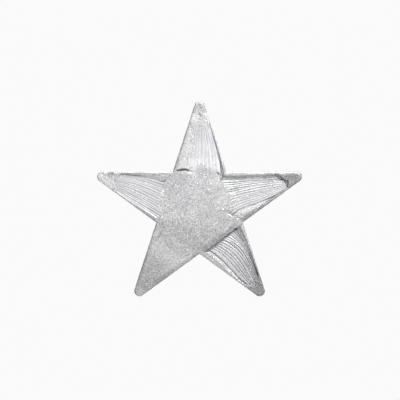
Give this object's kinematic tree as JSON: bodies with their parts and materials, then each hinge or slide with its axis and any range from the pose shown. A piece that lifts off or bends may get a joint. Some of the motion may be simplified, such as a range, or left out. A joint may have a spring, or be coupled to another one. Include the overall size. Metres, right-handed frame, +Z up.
{
  "type": "hanging paper star",
  "caption": "Flat hanging star of stiff card faced with silver glitter paper, with a rounded rim, a pleated paper leaf along each arm and a glitter patch over the middle.",
  "frame": {"origin": "centre of the hanging hole near the top point, halfway through the card's thickness", "axes": "+Z up to the top point as the star hangs, -Y towards the front, +X to the right as the front is seen"},
  "size_m": [0.2044, 0.0062, 0.1949],
  "materials": {
    "card": "grey board, cut edge, matt",
    "glitter_paper": "paper crusted with fine silver glitter",
    "back_paper": "smooth white lining paper with a faint sheen",
    "plain_paper": "smooth pale silver-white paper",
    "pleated_paper": "fine-pleated silky paper, silver-white, dusted with glitter at its ends",
    "wadding": "soft white wadding, hidden"
  },
  "bodies": {
    "root": {"star_card": "card", "face_paper": "glitter_paper", "back_paper": "back_paper", "rim": "glitter_paper", "centre_pad": "wadding", "centre_patch": "glitter_paper", "underlay_top": "plain_paper", "leaf_top": "pleated_paper", "underlay_upper_right": "plain_paper", "leaf_upper_right": "pleated_paper", "underlay_lower_right": "plain_paper", "leaf_lower_right": "pleated_paper", "underlay_lower_left": "plain_paper", "leaf_lower_left": "pleated_paper", "underlay_upper_left": "plain_paper", "leaf_upper_left": "pleated_paper"}
  },
  "joints": []
}
